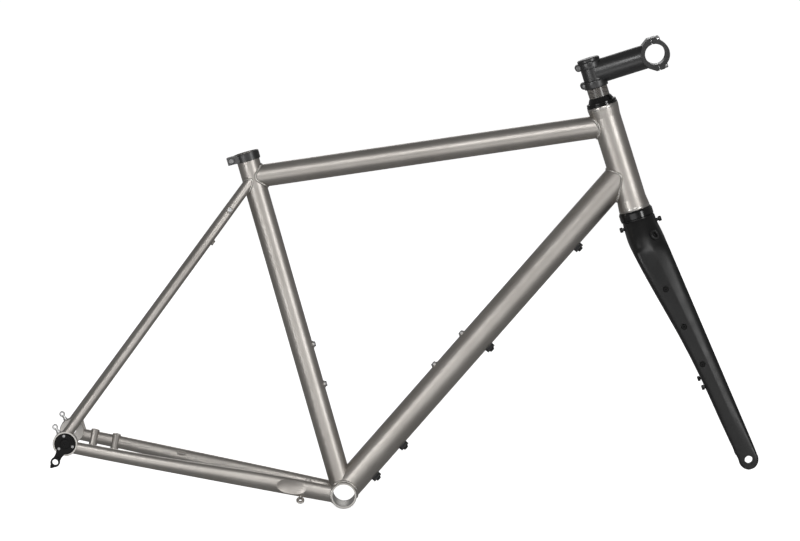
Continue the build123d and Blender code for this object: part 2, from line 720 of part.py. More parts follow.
with BuildPart() as seat_clamp_collar:
    with BuildSketch(clamp_plane):
        Circle(clamp_outer)
        Circle(seat_tube_diameter / 2, mode=Mode.SUBTRACT)
    extrude(amount=clamp_height)
    chamfer(seat_clamp_collar.edges().filter_by(GeomType.CIRCLE).group_by(SortBy.RADIUS)[-1], 0.6)
    with BuildSketch(clamp_plane.offset((clamp_height - ear_height) / 2)):
        with BuildLine():
            Polyline((-12, -16.2), (-ear_reach, -ear_half_width), (-ear_reach, ear_half_width),
                     (-12, 16.2), close=True)
        make_face()
        Circle(seat_tube_diameter / 2, mode=Mode.SUBTRACT)
    extrude(amount=ear_height)
    with BuildSketch(clamp_plane.offset(-1)):
        with Locations((-ear_reach, 0)):
            Rectangle(34, clamp_slot)
    extrude(amount=clamp_height + 2, mode=Mode.SUBTRACT)
    rod(clamp_bolt_centre + RIGHT * 20, clamp_bolt_centre + LEFT * 20, 2.5, mode=Mode.SUBTRACT)
    rod(clamp_bolt_centre + RIGHT * 8, clamp_bolt_centre + RIGHT * 20, 4.2, mode=Mode.SUBTRACT)
seat_clamp_collar.part.label = "seat_clamp_collar"
export_step(seat_clamp_collar.part, "parts/seat_clamp_collar.step")

with BuildPart() as seat_clamp_bolt:
    socket_bolt(clamp_bolt_centre + RIGHT * 8, RIGHT, 4.1, 4.0, 2.5, 18.0, 4.0)
seat_clamp_bolt.part.label = "seat_clamp_bolt"
export_step(seat_clamp_bolt.part, "parts/seat_clamp_bolt.step")

# ---------------------------------------------------------------- headset, fixed pieces
running_gap = 0.3
lower_cup_height = 12.6
lower_cup_radius = 26.4
lower_race_outer = 24.5
lower_race_top = -5.6       # heights from here on count upward from the head tube's lower face
lower_race_bottom = -12.0
upper_race_outer = 20.9
upper_race_bottom = -5.8    # heights counted from the head tube's upper face
upper_race_top = 0.6
upper_rim_top = 3.2
upper_rim_radius = 23.9

with BuildPart() as lower_headset_cup:
    turn(head_bottom, steer_up, [
        (20.8, lower_race_top),
        (lower_race_outer, lower_race_top),
        (lower_race_outer, -lower_cup_height),
        (lower_cup_radius - 0.8, -lower_cup_height),
        (lower_cup_radius, -lower_cup_height + 0.8),
        (lower_cup_radius, -3.0),
        (lower_cup_radius - 1.6, 0),
        (head_tube_bore / 2, 0),
        (head_tube_bore / 2, 12.0),
        (20.8, 12.0),
    ])
lower_headset_cup.part.label = "lower_headset_cup"
export_step(lower_headset_cup.part, "parts/lower_headset_cup.step")

with BuildPart() as upper_headset_cup:
    turn(head_top, steer_up, [
        (16.6, -9.0),
        (head_tube_bore / 2, -9.0),
        (head_tube_bore / 2, 0),
        (upper_rim_radius, 0),
        (upper_rim_radius, upper_rim_top - 0.5),
        (upper_rim_radius - 0.5, upper_rim_top),
        (upper_race_outer, upper_rim_top),
        (upper_race_outer, upper_race_bottom),
        (16.6, upper_race_bottom),
    ])
upper_headset_cup.part.label = "upper_headset_cup"
export_step(upper_headset_cup.part, "parts/upper_headset_cup.step")

# each cartridge bearing: an outer race in the cup, an inner race on the fork, balls between
race_gap = 0.05
race_rubbing_gap = 0.4      # the turning races stay clear of the cups' ledges
lower_ball_radius = 1.2
lower_ball_circle = 22.2
lower_ball_count = 26
upper_ball_radius = 1.6
upper_ball_circle = 18.0
upper_ball_count = 20
lower_race_inner = 20.0
upper_race_inner = 15.1
bearing_parts = (
    ("lower", head_bottom, lower_race_bottom, lower_race_top, 0, race_rubbing_gap,
     lower_race_inner, lower_race_outer, lower_ball_circle, lower_ball_radius, lower_ball_count),
    ("upper", head_top, upper_race_bottom, upper_race_top, race_rubbing_gap, 0,
     upper_race_inner, upper_race_outer, upper_ball_circle, upper_ball_radius, upper_ball_count),
)

for name, base, bottom, top, lift, drop, bore, outside, circle, ball, count in bearing_parts:
    outer_face = circle + ball + race_gap
    inner_face = circle - ball - race_gap
    with BuildPart() as outer_race:
        turn(base, steer_up, [(outer_face, bottom), (outside, bottom), (outside, top),
                              (outer_face, top)])
    outer_race.part.label = f"{name}_outer_race"
    export_step(outer_race.part, f"parts/{name}_outer_race.step")

    with BuildPart() as inner_race:
        turn(base, steer_up, [(bore, bottom + lift), (inner_face, bottom + lift),
                              (inner_face, top - drop), (bore, top - drop)])
    inner_race.part.label = f"{name}_inner_race"
    export_step(inner_race.part, f"parts/{name}_inner_race.step")

    middle = base + steer_up * ((bottom + top) / 2)
    with BuildPart(Plane(origin=middle, x_dir=steer_fwd, z_dir=steer_up)) as balls:
        with PolarLocations(circle, count):
            Sphere(ball)
    balls.part.label = f"{name}_balls"
    export_step(balls.part, f"parts/{name}_balls.step")

# ---------------------------------------------------------------- headset, pieces on the fork
steerer_radius = steerer_diameter / 2
steerer_foot_radius = 19.0
crown_race_top = lower_race_bottom + 3.6

with BuildPart() as crown_race:
    turn(head_bottom, steer_up, [
        (steerer_foot_radius, -lower_stack),
        (lower_race_outer + 1.4, -lower_stack),
        (lower_race_outer + 1.4, -lower_cup_height - running_gap),
        (lower_ball_circle - 2.0, -lower_cup_height - running_gap),
        (lower_race_inner + 1.0, lower_race_bottom),
        (lower_race_inner, lower_race_bottom),
        (lower_race_inner, crown_race_top),
        (steerer_foot_radius, crown_race_top),
    ])
crown_race.part.label = "crown_race"
export_step(crown_race.part, "parts/crown_race.step")

cover_bottom = upper_rim_top + running_gap
cover_outer = 23.3
cover_top_radius = 16.6

with BuildPart() as compression_ring:
    turn(head_top, steer_up, [
        (steerer_radius, upper_race_bottom + 1.0),
        (upper_race_inner, upper_race_bottom + 1.0),
        (upper_race_inner, upper_race_top),
        (upper_race_inner + 1.3, upper_race_top + 1.3),
        (upper_race_inner + 1.3, cover_bottom + 0.6),
        (steerer_radius, cover_bottom + 0.6),
    ])
compression_ring.part.label = "compression_ring"
export_step(compression_ring.part, "parts/compression_ring.step")

with BuildPart() as headset_cover:
    turn(head_top, steer_up, [
        (steerer_radius, cover_bottom + 0.6),
        (upper_race_inner + 1.3, cover_bottom + 0.6),
        (cover_outer - 2.0, cover_bottom + 0.6),
        (cover_outer - 2.0, cover_bottom),
        (cover_outer - 0.3, cover_bottom),
        (cover_outer, cover_bottom + 0.3),
        (cover_outer, cover_bottom + 2.6),
        (cover_outer - 0.5, cover_bottom + 3.1),
        (cover_top_radius + 3.6, cover_bottom + 3.4),
        (cover_top_radius + 0.8, cover_height - 1.0),
        (cover_top_radius, cover_height),
        (steerer_radius, cover_height),
    ])
headset_cover.part.label = "headset_cover"
export_step(headset_cover.part, "parts/headset_cover.step")

with BuildPart() as headset_spacer:
    turn(head_top + steer_up * cover_height, steer_up, [
        (steerer_radius, 0),
        (15.7, 0),
        (16.0, 0.3),
        (16.0, spacer_height - 0.3),
        (15.7, spacer_height),
        (steerer_radius, spacer_height),
    ])
headset_spacer.part.label = "headset_spacer"
export_step(headset_spacer.part, "parts/headset_spacer.step")

# ---------------------------------------------------------------- fork
def fork_point(depth, forward, lateral=0.0):
    """A point of the fork: depth below the crown's top along the steering axis."""
    return crown_top - steer_up * depth + steer_fwd * forward + LEFT * lateral


def front_edge(depth):
    """The blades' straight leading edge, forward of the steering axis."""
    return 27.6 + 0.1 * depth


# stations down each blade: depth, trailing edge, inner face, outer face, corner radius
blade_stations = [
    (50.0, -23.4, 25.0, 54.0, 9.0),
    (105.0, -12.0, 30.5, 56.5, 9.0),
    (185.0, 5.6, 34.5, 58.5, 8.0),
    (265.0, 19.2, 39.0, 60.5, 7.0),
    (345.0, 29.3, 44.5, 62.0, 6.0),
    (392.0, 35.0, 49.8, 62.2, 4.0),
]
fork_end_radius = 15.5
left_end_drop = 11.8        # the left end stops flat, this far below the axle
fork_end_inner = hub_width_front / 2
fork_end_outer = fork_end_inner + 12.0
bolt_shank_radius = 2.5
pack_bolts = ((110.6, 7.9), (110.6 + 63.3, 17.6), (110.6 + 126.6, 27.3))
pack_head_radius = 4.3
stay_bolt_depth = 272.5
stay_bolt_lateral = 53.0


def blade_outer(depth):
    """The outer face's distance from the middle plane, between two stations."""
    for near, far in zip(blade_stations, blade_stations[1:]):
        if near[0] <= depth <= far[0]:
            share = (depth - near[0]) / (far[0] - near[0])
            return near[3] + share * (far[3] - near[3])
    return blade_stations[-1][3]


def blade_loft(side, shrink, last, mode):
    """The blade's body, or its hollow core when shrink is the wall's thickness."""
    sections = []
    for depth, trailing, inner, outer, corner in blade_stations[:last]:
        leading = front_edge(depth)
        centre = fork_point(depth, (leading + trailing) / 2, side * (inner + outer) / 2)
        with BuildSketch(Plane(origin=centre, x_dir=steer_fwd, z_dir=-steer_up)) as section:
            RectangleRounded(leading - trailing - 2 * shrink, outer - inner - 2 * shrink,
                             corner - shrink)
        sections.append(section.sketch)
    loft(sections, mode=mode)


for side_name, side in (("right", -1), ("left", 1)):
    with BuildPart() as fork_blade:
        blade_loft(side, 0, 6, Mode.ADD)
        rod(front_axle + LEFT * side * fork_end_inner, front_axle + LEFT * side * fork_end_outer,
            fork_end_radius)
        blade_loft(side, 2.6, 5, Mode.SUBTRACT)
        rod(front_axle, front_axle + LEFT * side * 70, axle_diameter / 2 + 0.1, mode=Mode.SUBTRACT)
        rod(front_axle + LEFT * side * (fork_end_outer - 1.5), front_axle + LEFT * side * 70, 9.0,
            mode=Mode.SUBTRACT)
        for depth, forward in pack_bolts:
            face = fork_point(depth, forward, side * blade_outer(depth))
            rod(face - LEFT * side * 12, face + LEFT * side * 5, bolt_shank_radius,
                mode=Mode.SUBTRACT)
            rod(face - LEFT * side * 0.8, face + LEFT * side * 5, pack_head_radius,
                mode=Mode.SUBTRACT)
        if side > 0:
            with BuildSketch(Plane(origin=front_axle + LEFT * fork_end_inner - steer_up * left_end_drop,
                                   x_dir=steer_fwd, z_dir=-steer_up)):
                Rectangle(50, 40)
            extrude(amount=20, mode=Mode.SUBTRACT)
        hole = fork_point(stay_bolt_depth, 18.0, side * stay_bolt_lateral)
        rod(hole, hole + steer_fwd * 14, bolt_shank_radius, mode=Mode.SUBTRACT)
    fork_blade.part.label = f"fork_blade_{side_name}"
    export_step(fork_blade.part, f"parts/fork_blade_{side_name}.step")

# crown sections: depth, trailing edge, half width, corner radius
crown_stations = [(0.0, -24.8, 26.0, 25.0), (26.0, -25.4, 45.0, 22.0), (50.0, -23.4, 54.0, 12.0)]
arch_radius = 29.0
arch_depth = 40.0
steerer_seat_depth = 30.0
guard_bolt_depth = 10.0
port_seat = fork_point(27.0, 17.0, -42.6)
port_facing = (steer_fwd * 0.38 + RIGHT * 0.82 + steer_up * 0.42).normalized()
port_radius = 5.6
port_depth = 5.0

with BuildPart() as fork_crown:
    crown_sections = []
    for depth, trailing, half_width, corner in crown_stations:
        leading = front_edge(depth)
        centre = fork_point(depth, (leading + trailing) / 2)
        with BuildSketch(Plane(origin=centre, x_dir=steer_fwd, z_dir=-steer_up)) as section:
            RectangleRounded(leading - trailing, 2 * half_width, corner)
        crown_sections.append(section.sketch)
    loft(crown_sections)
    arch = fork_point(arch_depth + arch_radius, 0)
    rod(arch - steer_fwd * 80, arch + steer_fwd * 80, arch_radius, mode=Mode.SUBTRACT)
    rod(fork_point(steerer_seat_depth, 0), fork_point(-10, 0), steerer_foot_radius,
        mode=Mode.SUBTRACT)
    rod(fork_point(80, 0), fork_point(0, 0), 9.0, mode=Mode.SUBTRACT)
    rod(fork_point(guard_bolt_depth, -60), fork_point(guard_bolt_depth, 60), bolt_shank_radius,
        mode=Mode.SUBTRACT)
    rod(port_seat - port_facing * port_depth, port_seat + port_facing * port_depth, port_radius,
        mode=Mode.SUBTRACT)
fork_crown.part.label = "fork_crown"
export_step(fork_crown.part, "parts/fork_crown.step")

# the brake hose enters the fork through a grommet with a raised lip
with BuildPart() as fork_port:
    turn(port_seat, port_facing, [
        (port_radius - 1.8, -port_depth),
        (port_radius, -port_depth),
        (port_radius, 0.6),
        (port_radius - 0.5, 1.0),
        (port_radius - 1.8, 1.0),
    ])
fork_port.part.label = "fork_port"
export_step(fork_port.part, "parts/fork_port.step")

with BuildPart() as fork_pack_bolts:
    for side in (-1, 1):
        for depth, forward in pack_bolts:
            seat = fork_point(depth, forward, side * (blade_outer(depth) - 0.8))
            socket_bolt(seat, LEFT * side, pack_head_radius, 3.2, bolt_shank_radius, 10.0, 3.0)
fork_pack_bolts.part.label = "fork_pack_bolts"
export_step(fork_pack_bolts.part, "parts/fork_pack_bolts.step")

with BuildPart() as fork_guard_bolts:
    socket_bolt(fork_point(guard_bolt_depth, 30.2), steer_fwd, 4.0, 4.8, bolt_shank_radius, 10.6, 3.0)
    socket_bolt(fork_point(guard_bolt_depth, -26.8), -steer_fwd, 4.0, 4.8, bolt_shank_radius, 7.2,
                3.0)
    for side in (-1, 1):
        seat = fork_point(stay_bolt_depth, 19.6, side * stay_bolt_lateral)
        socket_bolt(seat, -steer_fwd, 4.0, 4.2, bolt_shank_radius, 10.0, 3.0)
fork_guard_bolts.part.label = "fork_guard_bolts"
export_step(fork_guard_bolts.part, "parts/fork_guard_bolts.step")

# the steerer widens from the stem's bore to the lower bearing
steerer_height = lower_stack + head_tube_length + cover_height + spacer_height + stem_stack - 3.0
steerer_wall = 2.8
taper_start = 30.0
taper_end = 95.0

with BuildPart() as steerer_tube:
    turn(crown_top, steer_up, [
        (9.0, -steerer_seat_depth),
        (steerer_foot_radius, -steerer_seat_depth),
        (steerer_foot_radius, taper_start),
        (steerer_radius, taper_end),
        (steerer_radius, steerer_height),
        (steerer_radius - steerer_wall, steerer_height),
        (steerer_radius - steerer_wall, taper_end),
        (steerer_foot_radius - steerer_wall - 1, taper_start),
        (steerer_foot_radius - steerer_wall - 1, -steerer_seat_depth + 8),
        (9.0, -steerer_seat_depth + 4),
    ])
steerer_tube.part.label = "steerer_tube"
export_step(steerer_tube.part, "parts/steerer_tube.step")

# ---------------------------------------------------------------- stem
def stem_point(forward, height, lateral=0.0):
    """A point of the stem: height above its lower face, along the steering axis."""
    return stem_bottom + steer_fwd * forward + steer_up * height + LEFT * lateral


stem_side = Plane(origin=stem_bottom, x_dir=steer_fwd, z_dir=RIGHT)
clamp_radius = 17.8
barrel_radius = 18.6
band_height = 12.5
waist_radius = 16.2
stem_slot = 2.0
ear_radius = 5.4
ear_back = 18.3
ear_heights = (7.9, 36.4)
ear_half = 9.5
bar_clamp_radius = 22.3
bar_clamp_half = 20.5
faceplate_gap = 1.2
face_bolt_height = 20.8
face_bolt_lateral = 13.5
face_ear = 9.0
face_ear_height = 25.4
ear_slope_start = 16.0      # the ears slope down to the barrel behind the bar
ear_slope_end = 5.0
face_bolt_radius = 4.2


def face_bolt_seats():
    """Where the faceplate's bolts seat: above and below the bar, on both sides."""
    for up in (-1, 1):
        for side in (-1, 1):
            yield stem_point(stem_length + face_ear, stem_axis_height + up * face_bolt_height,
                             side * face_bolt_lateral)


with BuildPart() as stem_body:
    turn(stem_bottom, steer_up, [
        (0, 0), (clamp_radius - 0.8, 0), (clamp_radius, 0.8), (clamp_radius, stem_stack - 0.8),
        (clamp_radius - 0.8, stem_stack), (0, stem_stack),
    ])
    # the waist between the two clamp bands, behind the steerer
    with BuildSketch(Plane(origin=stem_point(0, band_height), x_dir=steer_fwd, z_dir=steer_up)):
        with Locations((-20, 0)):
            Rectangle(40, 60)
        Circle(waist_radius, mode=Mode.SUBTRACT)
    extrude(amount=stem_stack - 2 * band_height + 1.5, mode=Mode.SUBTRACT)
    for height in ear_heights:
        rod(stem_point(-ear_back, height, -ear_half), stem_point(-ear_back, height, ear_half),
            ear_radius)
    rod(stem_point(4, stem_axis_height), stem_point(stem_length - 12, stem_axis_height),
        barrel_radius)
    rod(stem_point(stem_length, stem_axis_height, -bar_clamp_half),
        stem_point(stem_length, stem_axis_height, bar_clamp_half), bar_clamp_radius)
    with BuildSketch(stem_side.offset(-bar_clamp_half)):
        with Locations((stem_length, stem_axis_height)):
            Polygon((-ear_slope_start, -clamp_radius), (-ear_slope_end, -face_ear_height),
                    (face_ear, -face_ear_height), (face_ear, face_ear_height),
                    (-ear_slope_end, face_ear_height), (-ear_slope_start, clamp_radius),
                    align=None)
    extrude(amount=2 * bar_clamp_half)
    # everything in front of the split belongs to the faceplate
    with BuildSketch(stem_side.offset(-40)):
        with Locations((stem_length + 30, stem_axis_height)):
            Rectangle(60 + faceplate_gap, 80)
    extrude(amount=80, mode=Mode.SUBTRACT)
    rod(stem_point(stem_length, stem_axis_height, -40), stem_point(stem_length, stem_axis_height, 40),
        bar_diameter / 2, mode=Mode.SUBTRACT)
    rod(stem_point(0, stem_axis_height), stem_point(stem_length - 24, stem_axis_height), 15.0,
        mode=Mode.SUBTRACT)
    rod(stem_point(0, -5), stem_point(0, stem_stack + 5), steerer_radius, mode=Mode.SUBTRACT)
    with BuildSketch(Plane(origin=stem_point(0, -1), x_dir=steer_fwd, z_dir=steer_up)):
        with Locations((-20, 0)):
            Rectangle(20, stem_slot)
    extrude(amount=stem_stack + 2, mode=Mode.SUBTRACT)
    for height, side in zip(ear_heights, (1, -1)):
        middle = stem_point(-ear_back, height)
        rod(middle - LEFT * 20, middle + LEFT * 20, bolt_shank_radius, mode=Mode.SUBTRACT)
        rod(middle + LEFT * side * (ear_half - 3), middle + LEFT * side * 20, face_bolt_radius,
            mode=Mode.SUBTRACT)
    for seat in face_bolt_seats():
        rod(seat - steer_fwd * 16, seat, bolt_shank_radius, mode=Mode.SUBTRACT)
stem_body.part.label = "stem_body"
export_step(stem_body.part, "parts/stem_body.step")

with BuildPart() as stem_faceplate:
    rod(stem_point(stem_length, stem_axis_height, -bar_clamp_half),
        stem_point(stem_length, stem_axis_height, bar_clamp_half), bar_clamp_radius)
    with BuildSketch(stem_side.offset(-bar_clamp_half)):
        with Locations((stem_length, stem_axis_height)):
            RectangleRounded(2 * face_ear, 2 * face_ear_height, 2.5)
    extrude(amount=2 * bar_clamp_half)
    # two side hoops joined across the top and bottom leave a window in the middle
    with BuildSketch(stem_side.offset(-7)):
        with Locations((stem_length + 22, stem_axis_height)):
            Rectangle(20, 22)
    extrude(amount=14, mode=Mode.SUBTRACT)
    with BuildSketch(stem_side.offset(-40)):
        with Locations((stem_length - 30, stem_axis_height)):
            Rectangle(60 + faceplate_gap, 80)
    extrude(amount=80, mode=Mode.SUBTRACT)
    rod(stem_point(stem_length, stem_axis_height, -40), stem_point(stem_length, stem_axis_height, 40),
        bar_diameter / 2, mode=Mode.SUBTRACT)
    for seat in face_bolt_seats():
        rod(seat - steer_fwd * 20, seat + steer_fwd * 8, bolt_shank_radius, mode=Mode.SUBTRACT)
        rod(seat, seat + steer_fwd * 12, face_bolt_radius + 0.1, mode=Mode.SUBTRACT)
stem_faceplate.part.label = "stem_faceplate"
export_step(stem_faceplate.part, "parts/stem_faceplate.step")

with BuildPart() as faceplate_bolts:
    for seat in face_bolt_seats():
        socket_bolt(seat, steer_fwd, face_bolt_radius, 4.6, bolt_shank_radius, 16.0, 4.0)
faceplate_bolts.part.label = "faceplate_bolts"
export_step(faceplate_bolts.part, "parts/faceplate_bolts.step")

with BuildPart() as stem_clamp_bolts:
    for height, side in zip(ear_heights, (1, -1)):
        seat = stem_point(-ear_back, height, side * (ear_half - 3))
        socket_bolt(seat, LEFT * side, face_bolt_radius, 4.0, bolt_shank_radius, 14.0, 4.0)
stem_clamp_bolts.part.label = "stem_clamp_bolts"
export_step(stem_clamp_bolts.part, "parts/stem_clamp_bolts.step")

cap_height = 5.0
cap_bolt_radius = 4.6

with BuildPart() as top_cap:
    turn(stem_point(0, stem_stack), steer_up, [
        (3.0, 0), (clamp_radius - 0.4, 0), (clamp_radius - 0.4, cap_height - 1.6),
        (clamp_radius - 2.4, cap_height - 0.3), (cap_bolt_radius + 1.2, cap_height),
        (cap_bolt_radius, cap_height), (cap_bolt_radius, cap_height - 3.0),
        (3.0, cap_height - 3.0),
    ])
top_cap.part.label = "top_cap"
export_step(top_cap.part, "parts/top_cap.step")

with BuildPart() as top_cap_bolt:
    socket_bolt(stem_point(0, stem_stack + cap_height - 3.0), steer_up, cap_bolt_radius, 2.6, 3.0,
                25.0, 5.0)
top_cap_bolt.part.label = "top_cap_bolt"
export_step(top_cap_bolt.part, "parts/top_cap_bolt.step")

# the expander that the top cap's bolt pulls against
with BuildPart() as steerer_plug:
    turn(stem_point(0, stem_stack - 3.0), steer_up, [
        (3.0, -42), (10.5, -42), (steerer_radius - steerer_wall, -38),
        (steerer_radius - steerer_wall, 0), (3.0, 0),
    ])
steerer_plug.part.label = "steerer_plug"
export_step(steerer_plug.part, "parts/steerer_plug.step")
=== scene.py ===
import json
from math import cos, pi, radians, sin

import bmesh
import bpy
from mathutils import Matrix, Vector


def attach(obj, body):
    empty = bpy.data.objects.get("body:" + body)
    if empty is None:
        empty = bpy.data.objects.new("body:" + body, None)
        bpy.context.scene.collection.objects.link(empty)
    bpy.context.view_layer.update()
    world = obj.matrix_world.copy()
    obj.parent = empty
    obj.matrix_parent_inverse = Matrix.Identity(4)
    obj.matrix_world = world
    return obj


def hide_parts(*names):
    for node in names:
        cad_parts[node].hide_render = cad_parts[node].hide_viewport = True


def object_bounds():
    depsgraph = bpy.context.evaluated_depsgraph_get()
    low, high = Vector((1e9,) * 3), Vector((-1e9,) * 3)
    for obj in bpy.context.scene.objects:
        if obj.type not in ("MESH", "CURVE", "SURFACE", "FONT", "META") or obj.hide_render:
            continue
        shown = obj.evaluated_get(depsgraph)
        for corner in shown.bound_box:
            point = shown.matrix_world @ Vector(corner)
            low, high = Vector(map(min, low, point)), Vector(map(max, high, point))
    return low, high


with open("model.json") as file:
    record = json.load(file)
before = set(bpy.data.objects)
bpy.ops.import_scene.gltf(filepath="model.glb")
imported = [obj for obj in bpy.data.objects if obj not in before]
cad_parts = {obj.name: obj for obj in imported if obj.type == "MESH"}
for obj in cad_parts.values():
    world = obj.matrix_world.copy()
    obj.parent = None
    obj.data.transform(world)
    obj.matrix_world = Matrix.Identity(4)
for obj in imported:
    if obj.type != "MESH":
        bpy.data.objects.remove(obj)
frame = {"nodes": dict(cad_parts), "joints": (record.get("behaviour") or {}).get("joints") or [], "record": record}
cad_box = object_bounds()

MM = 0.001                  # the pieces are drawn in millimetres, and the scene is in metres
LEFT = Vector((0, 1, 0))
ORIGIN = Vector((0, 0, 0))  # the middle of the bottom bracket

# ---------------------------------------------------------------- places read from the frame
nodes = frame["nodes"]
mounts = {mount["name"]: mount for mount in frame["record"]["mounts"]}
joints = {joint["name"]: joint for joint in frame["joints"]}


def place(mount):
    """Where a mount is."""
    return Vector(mounts[mount]["pos_m"])


def heading(mount):
    """Which way a mount points."""
    return Vector(mounts[mount]["axis"]).normalized()


# ---------------------------------------------------------------- materials
# Noise values run mostly between these two.
noise_low = 0.3
noise_high = 0.7


def material(name, colour, metallic, roughness):
    """A new material with its shader's constant values set, and its node tree and shader."""
    made = bpy.data.materials.new(name)
    made.use_nodes = True
    tree = made.node_tree
    shader = tree.nodes["Principled BSDF"]
    shader.inputs["Base Color"].default_value = (*colour, 1)
    shader.inputs["Metallic"].default_value = metallic
    shader.inputs["Roughness"].default_value = roughness
    return made, tree, shader


def add(tree, kind, **inputs):
    """A new node with some of its inputs set."""
    node = tree.nodes.new(kind)
    for key, value in inputs.items():
        node.inputs[key.replace("_", " ")].default_value = value
    return node


def noise(tree, scale, detail):
    """Noise through the object's own space, counted in features per metre."""
    where = tree.nodes.new("ShaderNodeTexCoord")
    node = add(tree, "ShaderNodeTexNoise", Scale=scale, Detail=detail)
    tree.links.new(where.outputs["Object"], node.inputs["Vector"])
    return node.outputs["Fac"]


def spread(tree, source, low, high):
    """A number that runs from low to high with the noise."""
    node = tree.nodes.new("ShaderNodeMapRange")
    node.inputs["From Min"].default_value = noise_low
    node.inputs["From Max"].default_value = noise_high
    node.inputs["To Min"].default_value = low
    node.inputs["To Max"].default_value = high
    tree.links.new(source, node.inputs["Value"])
    return node.outputs["Result"]


def tint(tree, source, dark, light):
    """A colour that runs from dark to light with the noise."""
    node = tree.nodes.new("ShaderNodeValToRGB")
    node.color_ramp.elements[0].position = noise_low
    node.color_ramp.elements[0].color = (*dark, 1)
    node.color_ramp.elements[1].position = noise_high
    node.color_ramp.elements[1].color = (*light, 1)
    tree.links.new(source, node.inputs["Fac"])
    return node.outputs["Color"]


def bump(tree, shader, source, depth):
    """A surface grain of a depth in metres."""
    node = add(tree, "ShaderNodeBump", Strength=1.0, Distance=depth)
    tree.links.new(source, node.inputs["Height"])
    tree.links.new(node.outputs["Normal"], shader.inputs["Normal"])


def titanium():
    """Blasted titanium: broad patches of tone, a fine grain and a satin sheen."""
    made, tree, shader = material("titanium", (0.46, 0.44, 0.415), 1.0, 0.42)
    broad = noise(tree, 14, 2)
    grain = noise(tree, 2600, 2)
    tree.links.new(tint(tree, broad, (0.455, 0.428, 0.398), (0.53, 0.502, 0.47)),
                   shader.inputs["Base Color"])
    tree.links.new(spread(tree, noise(tree, 60, 4), 0.405, 0.435), shader.inputs["Roughness"])
    bump(tree, shader, grain, 0.00004)
    return made


def simple(name, colour, metallic, roughness, grain_scale, grain_depth, shine=None):
    """One colour, a slightly mottled roughness, a fine grain and its own shine if given."""
    made, tree, shader = material(name, colour, metallic, roughness)
    tree.links.new(spread(tree, noise(tree, 40, 3), roughness * 0.88, roughness * 1.15),
                   shader.inputs["Roughness"])
    if grain_depth:
        bump(tree, shader, noise(tree, grain_scale, 2), grain_depth)
    if shine is not None:
        shader.inputs["Specular IOR Level"].default_value = shine
    return made


def weave():
    """Carbon cloth round the steering axis: light and dark squares, as the tows cross."""
    made, tree, shader = material("carbon_weave", (0.05, 0.05, 0.05), 0.0, 0.3)
    where = tree.nodes.new("ShaderNodeTexCoord")
    cloth = add(tree, "ShaderNodeTexChecker", Scale=520.0)
    cloth.inputs["Color1"].default_value = (0.115, 0.106, 0.096, 1)
    cloth.inputs["Color2"].default_value = (0.022, 0.020, 0.018, 1)
    tree.links.new(where.outputs["Object"], cloth.inputs["Vector"])
    tree.links.new(cloth.outputs["Color"], shader.inputs["Base Color"])
    shader.inputs["Coat Weight"].default_value = 0.6
    shader.inputs["Coat Roughness"].default_value = 0.1
    return made


# name, colour, metallic, roughness, grain's scale and depth, shine where it isn't the usual
plain_looks = [
    ("titanium_machined", (0.56, 0.54, 0.51), 1.0, 0.30, 3000, 0),
    ("steel_bright", (0.55, 0.55, 0.55), 1.0, 0.25, 3000, 0.000005),
    ("steel_black", (0.012, 0.012, 0.012), 0.5, 0.24, 3000, 0.00001),
    ("bearing_steel", (0.7, 0.7, 0.71), 1.0, 0.12, 3000, 0),
    ("black_anodised", (0.0045, 0.0045, 0.0048), 0.0, 0.36, 2400, 0.000003, 0.95),
    ("black_gloss", (0.004, 0.004, 0.004), 0.0, 0.14, 2400, 0.000004),
    ("aluminium_bare", (0.65, 0.65, 0.66), 1.0, 0.3, 2400, 0.00001),
    ("carbon_satin", (0.006, 0.006, 0.006), 0.0, 0.36, 1500, 0.000002, 0.35),
    ("black_plastic", (0.008, 0.008, 0.008), 0.0, 0.36, 1500, 0.00003),
]
looks = {row[0]: simple(*row) for row in plain_looks}
looks["titanium"] = titanium()
looks["carbon_weave"] = weave()

# The hanger, the axle nut and the fork's pack bolts are a duller black than the
# polished cups, and the hanger's screws are darker than the other bright bolts.
dull_black = simple("dull_black", (0.004, 0.004, 0.004), 0.0, 0.42, 2400, 0.000003, 0.16)
dark_steel = simple("hanger_screw_steel", (0.30, 0.30, 0.30), 1.0, 0.22, 3000, 0.000005)
own_looks = {
    "derailleur_hanger": dull_black,
    "axle_nut": dull_black,
    "fork_pack_bolts": dull_black,
    "hanger_screws": dark_steel,
}

for row in frame["record"]["subparts"]:
    node = nodes[row["node"]]
    for slot in node.material_slots:
        slot.material = own_looks.get(row["node"], looks[row["material_slot"]])


# ---------------------------------------------------------------- axes of the frame
head_tube_length = 168.0
lower_headset_height = 14.6         # from the head tube down to the crown

head_top = Vector(joints["steering"]["pos_m"])
steer_up = Vector(joints["steering"]["axis"]).normalized()
steer_forward = LEFT.cross(steer_up)
crown_top = head_top - steer_up * (head_tube_length + lower_headset_height) * MM
seat_up = heading("seatpost")
if seat_up.z < 0:
    seat_up = -seat_up
front_axle = (place("front_axle_right") + place("front_axle_left")) / 2


# ---------------------------------------------------------------- making pieces
def new_object(name, data):
    """An object in the scene."""
    made = bpy.data.objects.new(name, data)
    bpy.context.scene.collection.objects.link(made)
    return made


def raw_piece(name, points, faces):
    """A mesh object with no finish yet."""
    mesh = bpy.data.meshes.new(name)
    mesh.from_pydata([tuple(point) for point in points], [], faces)
    return new_object(name, mesh)


def new_piece(name, points, faces, body, slot, smooth_angle=30):
    """A mesh piece that rides on a body and takes its look from a slot."""
    piece = raw_piece(name, points, faces)
    finish_piece(piece, body, slot, smooth_angle)
    return piece


